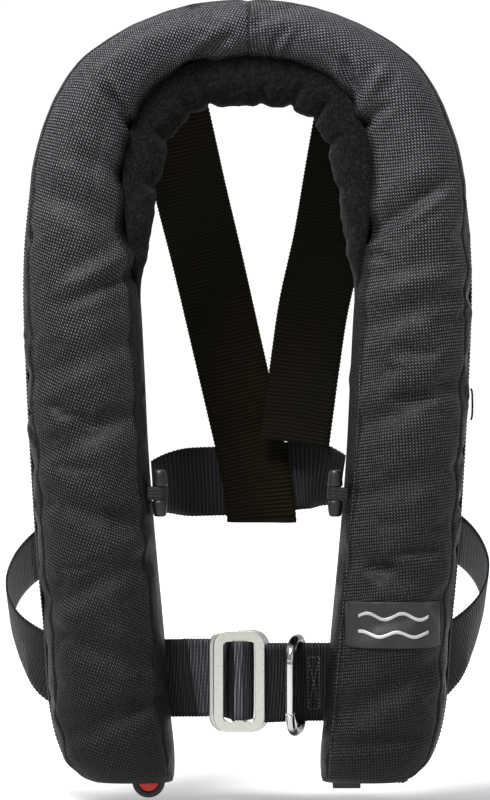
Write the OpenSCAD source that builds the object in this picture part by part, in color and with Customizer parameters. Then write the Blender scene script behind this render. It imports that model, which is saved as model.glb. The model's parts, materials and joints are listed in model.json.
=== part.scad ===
// Inflatable life jacket, packed: horseshoe cover, folded bladder, inflator, oral tube and harness.
// Origin: middle of the collar's inner edge, where it rests on the neck.
// +X is right in the front view (the wearer's left), +Y goes towards the wearer's back, +Z up.

/* [Cover] */
// Thickness of the nylon cover
cover_wall = 1.5; // [1:0.1:2]
// How far the front panel stands ahead of the zip plane
front_depth = 35; // [33:0.5:37]
// How far the back panel lies behind the zip plane
back_depth = 13; // [12:0.5:14]
// Y of the zip plane that parts the front panels from the back panel
zip_plane_y = 8; // [7.5:0.1:8.5]

/* [Webbing] */
// Width of the belts and straps
webbing_w = 50; // [46:1:50]
// Thickness of the belts and straps
webbing_t = 1.8; // [1.4:0.1:2]
// Y of the waist belt behind the front panels
belt_y = 28.3; // [28.2:0.1:28.6]

/* [Buckle] */
// Height of the front buckle plate
plate_h = 68.7; // [66:0.1:70]
// Width of the front buckle plate
plate_w = 34.7; // [34:0.1:35]
// Thickness of the buckle's steel
steel_t = 3; // [2.5:0.1:3]
// Wire diameter of the harness ring
ring_wire = 6; // [5:0.1:6]
// Height of the harness ring
ring_h = 67.6; // [66:0.1:70]
// Depth of the harness ring from bow to rear bar
ring_depth = 39; // [37:0.5:39]
// How far the harness ring rests turned towards the buckle
ring_rest_angle = 15; // [12:1:18]

/* [Inflator] */
// Radius of the gas cylinder
gas_r = 13.3; // [12:0.1:13.4]
// Radius of the gas cylinder's threaded neck
gas_neck_r = 6.3; // [6:0.05:6.4]
// Radius of the inflator head
inflator_r = 15; // [14:0.1:15]
// Radial play between turning parts
play = 0.05; // [0.03:0.01:0.08]

/* [Oral tube] */
// Outer radius of the oral tube
tube_r = 6.5; // [6:0.1:6.6]
// Bore radius of the oral tube
tube_bore_r = 4; // [3.8:0.1:4.2]

/* [Toggles] */
// Length of a toggle
toggle_l = 31; // [28:1:34]
// Width of a toggle
toggle_w = 10.4; // [9.8:0.1:10.6]
// Radius of a toggle's waist, where the elastic holds it
toggle_waist_r = 3.2; // [3:0.1:3.3]

/* [Hidden] */
$fn = 48;

nylon = [0.13, 0.13, 0.14];
fleece = [0.07, 0.08, 0.08];
web = [0.06, 0.07, 0.07];
steel = [0.85, 0.85, 0.83];
yellow = [0.95, 0.75, 0.1];
red = [0.75, 0.1, 0.08];
plastic = [0.1, 0.1, 0.11];

// Stations of the right half of the horseshoe, from the collar's middle to the lobe's bottom:
// inner edge x, z, outer edge x, z, width of the fleece inside it, fullness of the section.
cover_stations = [
    [0, 30, 0, 69, 30, 0.86],
    [33, 25, 50, 61, 29, 0.88],
    [57, 12, 88, 44, 27, 0.92],
    [72, -10, 117, 20, 25, 0.96],
    [80, -42, 138, -26, 23, 1],
    [78, -82, 146, -74, 14, 1],
    [72, -125, 148.5, -120, 3, 1],
    [69, -175, 147, -172, 0, 1],
    [66, -235, 144, -232, 0, 1],
    [61, -297, 140, -295, 0, 1],
    [56, -350, 135, -350, 0, 1],
    [52, -400, 131, -402, 0, 1],
    [49, -430, 123, -432, 0, 0.96],
    [49, -445, 112, -445, 0, 0.75],
    [50, -451, 104, -451, 0, 0.5]
];
last_station = len(cover_stations) - 1;
// The cover's walls thicken over the last station into a hem round the lobe's mouth
hem_wall = 3;
front_bulge = 2.8;
back_bulge = 4;

// ---- Curves ----

// The same station on the other half of the horseshoe
function mirrored(p) = [-p[0], p[1], -p[2], p[3], p[4], p[5]];

// Smooth value at position s along a list of points
function smooth(p, s, before) =
    let (i = max(0, min(floor(s), len(p) - 2)), t = s - i,
        a = i > 0 ? p[i - 1] : before, b = p[i], c = p[i + 1], d = p[min(i + 2, len(p) - 1)])
    0.5 * (2 * b + (c - a) * t + (2 * a - 5 * b + 4 * c - d) * t * t
        + (3 * b - a - 3 * c + d) * t * t * t);

// Cover station at s; negative s is the left half
function station(s) = s < 0 ? mirrored(station(-s))
    : smooth(cover_stations, s, mirrored(cover_stations[1]));

function unit(v) = v / norm(v);
function blend(a, b, t) = a + (b - a) * max(0, min(1, t));

// Wall of the cover at s, thicker at the mouths
function wall_at(s) = blend(cover_wall, hem_wall, abs(s) - last_station + 1);

// Point of a cover section: u across the lobe from its middle, y in depth
function on_section(p, u, y) =
    let (middle = [p[0] + p[2], p[1] + p[3]] / 2, across = unit([p[2] - p[0], p[3] - p[1]]))
    [middle[0] + across[0] * u, y, middle[1] + across[1] * u];
function half_width(p) = norm([p[2] - p[0], p[3] - p[1]]) / 2;

// Signed power that rounds a section
function rounded(v, n) = sign(v) * pow(abs(v), 2 / n);

// Arc of a section from the inner edge (0) to the outer edge (180), depth in the sign of side
function section_point(s, a, side, depth, bulge, inset_u, inset_y) =
    let (p = station(s))
    on_section(p, -rounded(cos(a), bulge) * (half_width(p) - inset_u),
        zip_plane_y + side * rounded(sin(a), bulge) * (depth * p[5] - inset_y));
function front_point(s, a, out) = section_point(s, a, -1, front_depth, front_bulge, -out, -out);

// C-shaped ring of a cover shell at s
function shell_ring(s, side, depth, bulge, steps) = concat(
    [for (i = [0:steps]) section_point(s, 180 * i / steps, side, depth, bulge, 0, 0)],
    [for (i = [steps:-1:0]) section_point(s, 180 * i / steps, side, depth, bulge,
        cover_wall, wall_at(s))]);

// Stations of a band at position s, each [x, y, z, wx, wy, wz]: centre and width direction
function band_ring(p, s, w, t) =
    let (q = smooth(p, s, p[0]), near = smooth(p, max(0, s - 0.05), p[0]),
        far = smooth(p, min(len(p) - 1, s + 0.05), p[0]),
        c = [q[0], q[1], q[2]], along = unit([far[0] - near[0], far[1] - near[1], far[2] - near[2]]),
        lean = [q[3], q[4], q[5]], wide = unit(lean - along * (lean * along)),
        thick = cross(along, wide))
    [c + wide * w / 2 + thick * t / 2, c - wide * w / 2 + thick * t / 2,
        c - wide * w / 2 - thick * t / 2, c + wide * w / 2 - thick * t / 2];

// Round ring of a cord at position s
function cord_ring(p, s, d, sides) =
    let (q = smooth(p, s, p[0]), near = smooth(p, max(0, s - 0.05), p[0]),
        far = smooth(p, min(len(p) - 1, s + 0.05), p[0]), along = unit(far - near),
        wide = unit(cross(along, [0.3, 1, 0.2])), thick = cross(along, wide))
    [for (i = [0:sides - 1]) q + (wide * cos(360 * i / sides) + thick * sin(360 * i / sides)) * d / 2];

// ---- Shapes ----

// Closed skin over rings that all have the same even number of points
module skin(rings) {
    n = len(rings);
    m = len(rings[0]);
    sides = [for (i = [0:n - 2], j = [0:m - 1])
        let (a = i * m + j, b = i * m + (j + 1) % m) each [[a, b, b + m], [a, b + m, a + m]]];
    cap = [for (j = [0:m / 2 - 2]) each [[j, m - 1 - j, m - 2 - j], [j, m - 2 - j, j + 1]]];
    far_cap = [for (f = cap) [f[2] + (n - 1) * m, f[1] + (n - 1) * m, f[0] + (n - 1) * m]];
    polyhedron([for (r = rings) each r], concat(sides, cap, far_cap), convexity = 8);
}

module band(p, w = webbing_w, t = webbing_t, steps = 2)
    skin([for (k = [0:(len(p) - 1) * steps]) band_ring(p, k / steps, w, t)]);

module cord(p, d, sides = 8, steps = 2)
    skin([for (k = [0:(len(p) - 1) * steps]) cord_ring(p, k / steps, d, sides)]);

// Rounded rectangle in XY
module round_rect(w, h, r)
    union() {
        square([w - 2 * r, h], center = true);
        square([w, h - 2 * r], center = true);
        for (x = [-1, 1], y = [-1, 1]) translate([x * (w / 2 - r), y * (h / 2 - r)]) circle(r);
    }

// Stand a flat XY outline upright, its thickness from y to y + t
module upright(y, t) translate([0, y + t, 0]) rotate([90, 0, 0]) linear_extrude(t) children();

// ---- Cover ----

module front_half()
    skin([for (k = [0:2 * last_station]) shell_ring(k / 2, -1, front_depth, front_bulge, 12)]);

module front_cover_right() color(nylon) front_half();
module front_cover_left() color(nylon) mirror([1, 0, 0]) front_half();

module back_cover() color(nylon)
    skin([for (k = [-2 * last_station:2 * last_station])
        shell_ring(k / 2, 1, back_depth, back_bulge, 8)]);

// Padded roll of fleece inside the collar, clear of the cover's inner edge
fleece_reach = 6;
function fleece_point(p, a) =
    let (gap = 0.4, push = max(p[4], 0.8))
    on_section(p, -half_width(p) - gap - push * rounded(max(0, sin(a)), 2.6),
        5 - 15 * cos(a) * min(1, 0.35 + p[4] / 20));
module fleece_collar() color(fleece)
    skin([for (k = [-4 * fleece_reach:4 * fleece_reach])
        let (p = station(k / 4)) concat([for (i = [0:9]) fleece_point(p, 180 * i / 9)],
            [for (i = [3:-1:0]) on_section(p, -half_width(p) - 0.35,
                5 - 15 * cos(180 * (i + 0.5) / 4) * min(1, 0.35 + p[4] / 20))])]);

// Coil zip along the cover's outer edge
zip_t = 2;
function zip_ring(s) = let (p = station(s), h = half_width(p))
    [for (c = [[0.15, -1.6], [zip_t, -1.6], [zip_t, 1.6], [0.15, 1.6]])
        on_section(p, h + c[0], zip_plane_y + c[1])];
zip_from = 3;
function zip_rings() = [for (k = [2 * zip_from:2 * last_station - 1]) zip_ring(k / 2)];
module zip_left() color(plastic) mirror([1, 0, 0]) skin(zip_rings());

// The right zip goes on under the lobe and closes its mouth; d points out of the cover
hem_z = -451;
function zip_hem_ring(x, d) = [for (c = [[0.15, -1.6], [zip_t, -1.6], [zip_t, 1.6], [0.15, 1.6]])
    [x + d[0] * c[0], zip_plane_y + c[1], hem_z + d[1] * c[0]]];
zip_end_x = 58;
module zip_right() color(plastic) skin(concat(zip_rings(),
    [zip_hem_ring(104, [0.7, -0.7]), zip_hem_ring(98, [0, -1]), zip_hem_ring(zip_end_x, [0, -1])]));

// Slider parked over the end of the right zip, with its pull tab
slider_l = 9;
slider_w = 8.6;
slider_h = 4.8;
module zip_slider() color(steel)
    union() {
        difference() {
            translate([zip_end_x - 1, zip_plane_y - slider_w / 2, hem_z - 0.3 - slider_h])
                cube([slider_l, slider_w, slider_h]);
            translate([zip_end_x - 2, zip_plane_y - 2.1, hem_z - 2.6]) cube([slider_l + 2, 4.2, 3]);
        }
        translate([zip_end_x - 0.5, zip_plane_y - slider_w / 2 - 1.2, hem_z - 5]) cube([18, 1.2, 4.4]);
    }

// Raised rubber label that follows the right lobe's front
label_from = 50;
label_to = 138;
label_top = 9.62;
label_bottom = 10.18;
module label_patch() color(plastic)
    skin([for (a = [label_from:8:label_to])
        [front_point(label_top, a, 0.3), front_point(label_top, a, 1.4),
            front_point(label_bottom, a, 1.4), front_point(label_bottom, a, 0.3)]]);

module edge_tab() color(web)
    translate([148.7, 0.5, -209]) cube([1.4, 5.5, 19]);

// ---- Inside the cover ----

bladder_to = 11;
function bladder_point(p, a) =
    on_section(p, -rounded(cos(a), 4) * (half_width(p) - 6),
        zip_plane_y + (4 - 6 * rounded(sin(a), 4)) * p[5]);
module bladder() color(yellow)
    skin([for (k = [-2 * bladder_to:2 * bladder_to])
        [for (i = [0:11]) bladder_point(station(k / 2), 30 * i + 15)]]);

// Retroreflective patches on the bladder's front
patch_y = 5.4;
module reflective_patches() color(steel)
    for (c = [[-110, -165], [104, -300]]) translate([c[0], 0, c[1]]) upright(patch_y, 0.3)
        round_rect(34, 50, 3);

// Inflator, upright in the left lobe
inflator_x = -106;
inflator_y = -9;
inflator_top = -341;
inflator_bottom = -392;
neck_len = 12;
cartridge_r = 11;
cartridge_len = 13;
pivot_x = -84;
pivot_z = -368;
pin_r = 1.5;
lever_t = 4;
lever_reach = 18;
module inflator_body() color(plastic)
    difference() {
        union() {
            translate([inflator_x, inflator_y, inflator_bottom])
                cylinder(h = inflator_top - inflator_bottom, r = inflator_r);
            // boss that seals on the bladder
            translate([inflator_x, inflator_y, -362]) rotate([-90, 0, 0]) cylinder(h = 14.6, r = 8);
            // fork that carries the lever
            for (y = [-1, 1]) translate([inflator_x, inflator_y + y * 4.2 - 1.5, pivot_z - 5])
                cube([pivot_x - inflator_x + 5, 3, 10]);
        }
        translate([inflator_x, inflator_y, inflator_top - neck_len])
            cylinder(h = neck_len + 1, r = gas_neck_r + play);
        translate([inflator_x, inflator_y, inflator_bottom - 1])
            cylinder(h = cartridge_len + 1, r = cartridge_r + play);
        translate([pivot_x, inflator_y, pivot_z]) rotate([90, 0, 0])
            cylinder(h = 20, r = pin_r, center = true);
        // slot in which the lever's heel turns
        translate([pivot_x - 6, inflator_y - 2.4, pivot_z - 9]) cube([12, 4.8, 18]);
    }

module sensor_cartridge() color(yellow)
    union() {
        translate([inflator_x, inflator_y, inflator_bottom - 0.3])
            cylinder(h = cartridge_len - 0.5, r = cartridge_r);
        translate([inflator_x, inflator_y, inflator_bottom - 12.3]) cylinder(h = 12, r = 13.5);
    }

gas_bottom = -328;
gas_top = -228;
module co2_cylinder() color(steel)
    union() {
        translate([inflator_x, inflator_y, inflator_top - neck_len + 0.5])
            cylinder(h = gas_bottom - inflator_top + neck_len, r = gas_neck_r);
        translate([inflator_x, inflator_y, gas_bottom - 8])
            cylinder(h = 8, r1 = gas_neck_r + 0.7, r2 = gas_r);
        translate([inflator_x, inflator_y, gas_bottom]) cylinder(h = gas_top - gas_bottom, r = gas_r);
        translate([inflator_x, inflator_y, gas_top]) sphere(gas_r);
    }

module lever_pin() color(steel)
    translate([pivot_x, inflator_y, pivot_z]) rotate([90, 0, 0])
        cylinder(h = 11.4, r = pin_r, center = true);

module inflator_lever() color(red)
    difference() {
        union() {
            translate([pivot_x, inflator_y, pivot_z]) rotate([90, 0, 0])
                cylinder(h = lever_t, r = 4.5, center = true);
            translate([pivot_x, inflator_y - lever_t / 2, pivot_z - 3]) cube([lever_reach, lever_t, 6]);
            translate([pivot_x + lever_reach, inflator_y, pivot_z]) rotate([90, 0, 0])
                cylinder(h = lever_t, r = 3, center = true);
        }
        translate([pivot_x, inflator_y, pivot_z]) rotate([90, 0, 0])
            cylinder(h = lever_t + 2, r = pin_r + play, center = true);
    }

// Cord from the lever's tip down to the pull handle
lanyard_d = 2.4;
lanyard_route = [
    [-66, -9, -372], [-66, -8.5, -385], [-66, -5, -400], [-66, 1, -415], [-66, 3.5, -428.6]
];
module lanyard() color(red) cord(lanyard_route, lanyard_d);

// Oval pull handle that peeps out of the left lobe's mouth
handle_x = -66;
handle_y = 0.5;
handle_z = -445.5;
handle_t = 6;
module handle_outline(w, h) scale(h) union() {
    translate([0, 0.5 - w / h / 2]) circle(w / h / 2);
    translate([0, w / h / 2 - 0.5]) circle(w / h / 2);
    square([w / h, 1 - w / h], center = true);
}
module pull_handle() color(plastic)
    translate([handle_x, 0, handle_z]) upright(handle_y, handle_t) difference() {
        handle_outline(22, 33);
        handle_outline(14, 25);
    }
module pull_handle_inlay() color(red)
    translate([handle_x, 0, handle_z]) upright(handle_y + 0.6, handle_t - 1.2) handle_outline(14, 25);

// Oral tube on its flange in the right lobe
tube_x = 92;
tube_y = -8;
tube_bottom = -250;
tube_top = -160;
bend_r = 10;
module oral_tube() color(plastic)
    difference() {
        union() {
            translate([tube_x, tube_y, tube_bottom]) cylinder(h = tube_top - tube_bottom, r = tube_r);
            translate([tube_x, tube_y + bend_r, tube_bottom]) rotate([0, 90, 0]) rotate([0, 0, -90])
                rotate_extrude(angle = 90) translate([bend_r, 0]) circle(tube_r);
            translate([tube_x, tube_y + bend_r, tube_bottom - bend_r]) rotate([-90, 0, 0])
                cylinder(h = 3.6, r = tube_r);
            translate([tube_x, 4.1, tube_bottom - bend_r]) rotate([-90, 0, 0]) cylinder(h = 1.5, r = 15);
        }
        translate([tube_x, tube_y, tube_bottom]) cylinder(h = tube_top - tube_bottom + 1, r = tube_bore_r);
    }

valve_len = 16;
valve_proud = 0.6;
module oral_valve() color(yellow)
    translate([tube_x, tube_y, tube_top - valve_len])
        cylinder(h = valve_len + valve_proud, r = tube_bore_r - play);

cap_r = 8.2;
module oral_tube_cap() color(plastic)
    difference() {
        translate([tube_x, tube_y, tube_top - 12]) cylinder(h = 16, r = cap_r);
        translate([tube_x, tube_y, tube_top - 13]) cylinder(h = 15, r = tube_r + play);
    }

// Pealess whistle that hangs from its cord
whistle_x = 122;
whistle_z = -208;
module whistle() color(yellow)
    difference() {
        translate([whistle_x, tube_y, whistle_z]) union() {
            upright(-4.5, 9) translate([0, -27]) round_rect(15, 40, 3);
            rotate([90, 0, 0]) cylinder(h = 4, r = 4, center = true);
            translate([-4, -2, -8]) cube([8, 4, 8]);
        }
        translate([whistle_x, tube_y, whistle_z]) rotate([90, 0, 0])
            cylinder(h = 12, r = 1.8, center = true);
        // air slots on both faces
        for (y = [-1, 1]) translate([whistle_x, tube_y + y * 3.4, whistle_z - 24])
            cube([9, 2.6, 4], center = true);
        // mouthpiece
        translate([whistle_x, tube_y, whistle_z - 44]) cube([11, 3, 12], center = true);
    }

whistle_cord_d = 2;
whistle_cord_route = [
    [99.7, -8, -182], [104, -8, -183], [110, -8, -188], [117, -8, -196], [121, -8, -202.4]
];
module whistle_cord() color(web) cord(whistle_cord_route, whistle_cord_d);

// Webbing loop by which a casualty is lifted
module lifting_loop() color(web)
    translate([-112, -1.2, -112]) linear_extrude(25) difference() {
        square([36, 11], center = true);
        square([32, 7], center = true);
    }

// ---- Webbing ----

// Right half of the harness belt, front to back: centre, width direction, and how far the
// stretch on the right side of the jacket lies above its twin on the left
side_stations = [
    [44, belt_y, -385.2, 0, 0, 1, -2.8],
    [66, belt_y, -385.2, 0, 0, 1, -2.5],
    [92, belt_y, -384.5, 0, 0, 1, -1],
    [116, 29.5, -382.8, 0, -0.1, 1, 2],
    [134, 34.5, -377.5, 0, -0.35, 0.94, 6],
    [149, 41, -366, 0, -0.6, 0.8, 9],
    [160, 50, -352, 0, -0.75, 0.66, 11],
    [165, 62, -337, 0, -0.77, 0.64, 12],
    [162, 75, -323, 0, -0.77, 0.64, 12],
    [154, 86, -311.5, 0, -0.75, 0.66, 12],
    [141, 95, -301, 0, -0.72, 0.69, 11],
    [116, 108, -283, 0, -0.7, 0.71, 8],
    [92, 117, -268, 0, -0.7, 0.71, 5],
    [70.5, 122.5, -259.5, 0, -0.66, 0.75, 2]
];
function side_of_belt(side) = [for (p = side_stations)
    [side * p[0], p[1], p[2] + (side > 0 ? p[6] : 0), side * p[3], p[4], p[5]]];

// The belt's end on the buckle plate: round the centre bar, and back behind itself
plate_loop = [
    [-44, 31.2, -385.2, 0, 0, 1], [-30, 31.2, -385.2, 0, 0, 1], [-16, 30.9, -385.2, 0, 0, 1],
    [-4, 29.4, -385.2, 0, 0, 1], [2.2, 25.6, -385.2, 0, 0, 1], [3.6, 20, -385.2, 0, 0, 1],
    [1.2, 13.4, -385.2, 0, 0, 1], [-2.6, 10, -385.2, 0, 0, 1], [-6, 9.4, -385.2, 0, 0, 1],
    [-9.8, 10.6, -385.2, 0, 0, 1], [-11.8, 18, -385.2, 0, 0, 1], [-17.6, 27.4, -385.2, 0, 0, 1],
    [-30, 28.7, -385.2, 0, 0, 1]
];
// The belt's end on the buckle ring: round its outer bar, and back behind itself
ring_loop = [
    [56, 31.2, -388, 0, 0, 1], [40, 31.2, -388, 0, 0, 1], [24, 30.6, -388, 0, 0, 1],
    [14, 30, -388, 0, 0, 1], [7.6, 28.6, -388, 0, 0, 1], [6.2, 24.8, -388, 0, 0, 1],
    [7.8, 21, -388, 0, 0, 1], [14, 20, -388, 0, 0, 1], [24, 23, -388, 0, 0, 1],
    [34, 27, -388, 0, 0, 1]
];
module waist_belt_left() color(web) band(concat(plate_loop, side_of_belt(-1)));
module waist_belt_right() color(web) band(concat(ring_loop, side_of_belt(1)));

// The back of the belt, sewn to the ends of the two halves
module back_belt() color(web) band([
    [-68, 123, -259, 0, -0.65, 0.75], [-54, 125.4, -256.5, 0, -0.4, 0.9],
    [-36, 127, -255.5, 0, 0, 1], [-18, 127, -255, 0, 0, 1], [0, 127, -255, 0, 0, 1],
    [18, 127, -253, 0, 0, 1], [40, 127, -250.5, 0, 0, 1], [54, 125.4, -251, 0, -0.4, 0.9],
    [68, 123, -254.5, 0, -0.65, 0.75]]);

// Back straps, from behind the collar down to the belt
left_strap_stations = [
    [-58, 23, 24, 1, 0, 0.24], [-50.5, 25, -4, 1, 0, 0.24], [-39, 58, -54, 1, 0, 0.24],
    [-28, 88, -99, 1, 0, 0.24], [-14.5, 110, -158, 1, 0, 0.22], [-3, 120.5, -208, 1, 0, 0.22],
    [2, 123, -230, 1, 0, 0.22], [7, 123.6, -255, 1, 0, 0.1], [10, 124.2, -279, 1, 0, 0.02],
    [10.3, 126.6, -284, 1, 0, 0], [10, 129.6, -280, 1, 0, 0], [7, 130.4, -255, 1, 0, 0.1],
    [2, 130.4, -232, 1, 0, 0.2]
];
right_strap_stations = [
    [76, 23, 22, 1, 0, -0.18], [70, 25, -6, 1, 0, -0.18], [63.5, 52, -44, 1, 0, -0.18],
    [57, 80, -84, 1, 0, -0.18], [47, 101, -130, 1, 0, -0.18], [41, 111.5, -172, 1, 0, -0.18],
    [36.5, 111.8, -206, 1, 0, -0.18], [33.6, 110, -227, 1, 0, -0.12]
];
module back_strap_left() color(web) band(left_strap_stations);
module back_strap_right() color(web) band(right_strap_stations);

// Keepers on the back panel, through which the belt passes: width, depth and height of one, the
// Y of the cover's back that it is sewn to, and its webbing's thickness at the ends and behind
keeper_w = 36;
keeper_d = 13.7;
keeper_h = 68;
keeper_bottom = -416;
cover_back_y = 21.3;
keeper_end_t = 2.4;
keeper_back_t = 2;
module belt_keeper()
    translate([-keeper_w / 2, 0, 0]) rotate([90, 0, 90]) linear_extrude(keeper_w) difference() {
        translate([cover_back_y, keeper_bottom]) square([keeper_d, keeper_h]);
        translate([cover_back_y - 1, keeper_bottom + keeper_end_t])
            square([keeper_d + 1 - keeper_back_t, keeper_h - 2 * keeper_end_t]);
    }
module belt_keeper_left() color(web) translate([-93, 0, 0]) belt_keeper();
module belt_keeper_right() color(web) translate([94, 0, 0]) belt_keeper();

// ---- Buckle and rings ----

plate_x = -5.7;
plate_y = 11.4;
plate_z = -385.7;
slot_w = 8;
bar_w = 4.8;
window_h = 54;
module buckle_plate() color(steel)
    translate([plate_x, 0, plate_z]) upright(plate_y, steel_t) union() {
        difference() {
            round_rect(plate_w, plate_h, 10);
            round_rect(2 * slot_w + bar_w, window_h, 3);
        }
        square([bar_w, window_h + 2], center = true);
    }

big_ring_w = 41;
big_ring_h = 69;
big_ring_y = 23.1;
big_ring_t = 3.4;
big_ring_bar = 6.5;
module buckle_ring() color(steel)
    translate([plate_x, 0, plate_z - 1]) upright(big_ring_y, big_ring_t) difference() {
        round_rect(big_ring_w, big_ring_h, 11);
        round_rect(big_ring_w - 2 * big_ring_bar, big_ring_h - 2 * big_ring_bar, 5);
    }

// Ring round the belt, bent from round wire; its bow has wider corners than its rear bar, on
// which it turns
ring_x = 37;
ring_bar_y = 40;
ring_z = -389.8;
bow_r = 16;
rear_r = 11;
reach = (ring_depth - ring_wire) / 2;
half_h = (ring_h - ring_wire) / 2;
module ring_end(r)
    union() {
        translate([reach, 0, 0]) rotate([90, 0, 0])
            cylinder(h = 2 * (half_h - r), r = ring_wire / 2, center = true);
        for (y = [0, 1]) mirror([0, y, 0]) translate([reach - r, half_h - r, 0])
            rotate_extrude(angle = 90) translate([r, 0]) circle(ring_wire / 2);
    }
module harness_ring() color(steel)
    translate([ring_x, ring_bar_y, ring_z]) rotate([0, 0, -ring_rest_angle]) translate([0, -reach, 0])
        rotate([90, 0, 90]) union() {
            ring_end(rear_r);
            mirror([1, 0, 0]) ring_end(bow_r);
            for (y = [-1, 1]) translate([bow_r - reach, y * half_h, 0]) rotate([0, 90, 0])
                cylinder(h = 2 * reach - bow_r - rear_r, r = ring_wire / 2);
        }

// ---- Toggles ----

toggle_x = 58.2;
toggle_y = -4;
toggle_z = -258.7;
elastic_h = 8;
elastic_t = 1.2;
loop_r = toggle_waist_r + 0.4;
// Elastic band from the lobe's inner seam round the toggle's waist
module elastic_loop() translate([toggle_x, toggle_y, toggle_z - elastic_h / 2]) linear_extrude(elastic_h)
    difference() {
        union() {
            circle(loop_r + elastic_t);
            translate([0, -loop_r - elastic_t]) square([6.2, 2 * (loop_r + elastic_t)]);
        }
        circle(loop_r);
        translate([0, -loop_r]) square([10, 2 * loop_r]);
    }
module elastic_loop_right() color(web) elastic_loop();
module elastic_loop_left() color(web) mirror([1, 0, 0]) elastic_loop();

// Half-round toggle with a narrow waist
toggle_depth = 6.4;
module toggle() translate([toggle_x, toggle_y, toggle_z]) union() {
    cylinder(h = elastic_h + 1, r = toggle_waist_r, center = true);
    for (z = [-1, 1]) intersection() {
        translate([0, toggle_w / 2 - toggle_depth, z * (elastic_h / 2 + 0.4)])
            mirror([0, 0, z > 0 ? 0 : 1])
            cylinder(h = (toggle_l - elastic_h) / 2 - 0.4, r1 = toggle_w / 2, r2 = toggle_w / 2 - 1.4);
        translate([-toggle_w, toggle_depth / 2 - 2 * toggle_w, -toggle_l])
            cube(2 * [toggle_w, toggle_w, toggle_l]);
    }
}
module toggle_right() color(plastic) toggle();
module toggle_left() color(plastic) mirror([1, 0, 0]) toggle();

front_cover_left();
front_cover_right();
back_cover();
fleece_collar();
zip_left();
zip_right();
zip_slider();
label_patch();
edge_tab();
bladder();
reflective_patches();
inflator_body();
sensor_cartridge();
co2_cylinder();
inflator_lever();
lever_pin();
lanyard();
pull_handle();
pull_handle_inlay();
oral_tube();
oral_valve();
oral_tube_cap();
whistle();
whistle_cord();
lifting_loop();
back_strap_left();
back_strap_right();
back_belt();
waist_belt_left();
waist_belt_right();
belt_keeper_left();
belt_keeper_right();
buckle_plate();
buckle_ring();
harness_ring();
elastic_loop_left();
elastic_loop_right();
toggle_left();
toggle_right();
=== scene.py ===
import json
import math
import random

import bpy
import numpy as np
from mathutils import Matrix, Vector
from mathutils.bvhtree import BVHTree
from mathutils.noise import noise as turbulence


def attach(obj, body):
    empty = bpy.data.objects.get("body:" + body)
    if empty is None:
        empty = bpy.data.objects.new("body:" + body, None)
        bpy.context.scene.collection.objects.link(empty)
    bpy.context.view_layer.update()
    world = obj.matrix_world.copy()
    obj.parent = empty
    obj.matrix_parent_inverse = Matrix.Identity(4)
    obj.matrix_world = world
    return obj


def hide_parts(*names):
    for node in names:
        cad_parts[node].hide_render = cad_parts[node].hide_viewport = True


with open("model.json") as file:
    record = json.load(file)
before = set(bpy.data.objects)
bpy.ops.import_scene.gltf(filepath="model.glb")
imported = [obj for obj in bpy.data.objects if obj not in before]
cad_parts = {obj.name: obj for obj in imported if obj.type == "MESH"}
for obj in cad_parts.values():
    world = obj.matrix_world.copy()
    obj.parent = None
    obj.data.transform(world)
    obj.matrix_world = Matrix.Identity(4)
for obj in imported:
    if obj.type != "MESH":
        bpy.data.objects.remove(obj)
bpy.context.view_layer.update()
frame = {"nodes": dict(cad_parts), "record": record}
rng = random.Random(7)
MM = 0.001

# ---- Camera ----

EYE = Vector((-0.0017, -1.6, -0.1967))
camera = bpy.data.objects.new("camera", bpy.data.cameras.new("camera"))
camera.location = EYE
camera.rotation_euler = (math.radians(90), 0, 0)
camera.data.lens = 36 * 1.6 / 0.5333
camera.data.clip_end = 60
bpy.context.scene.collection.objects.link(camera)
bpy.context.scene.camera = camera

# ---- Materials ----


def srgb(r, g, b):
    """Linear colour of an 8 bit display colour."""
    return tuple(
        (c / 255 / 12.92 if c <= 10 else ((c / 255 + 0.055) / 1.055) ** 2.4) for c in (r, g, b)
    ) + (1,)


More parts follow.
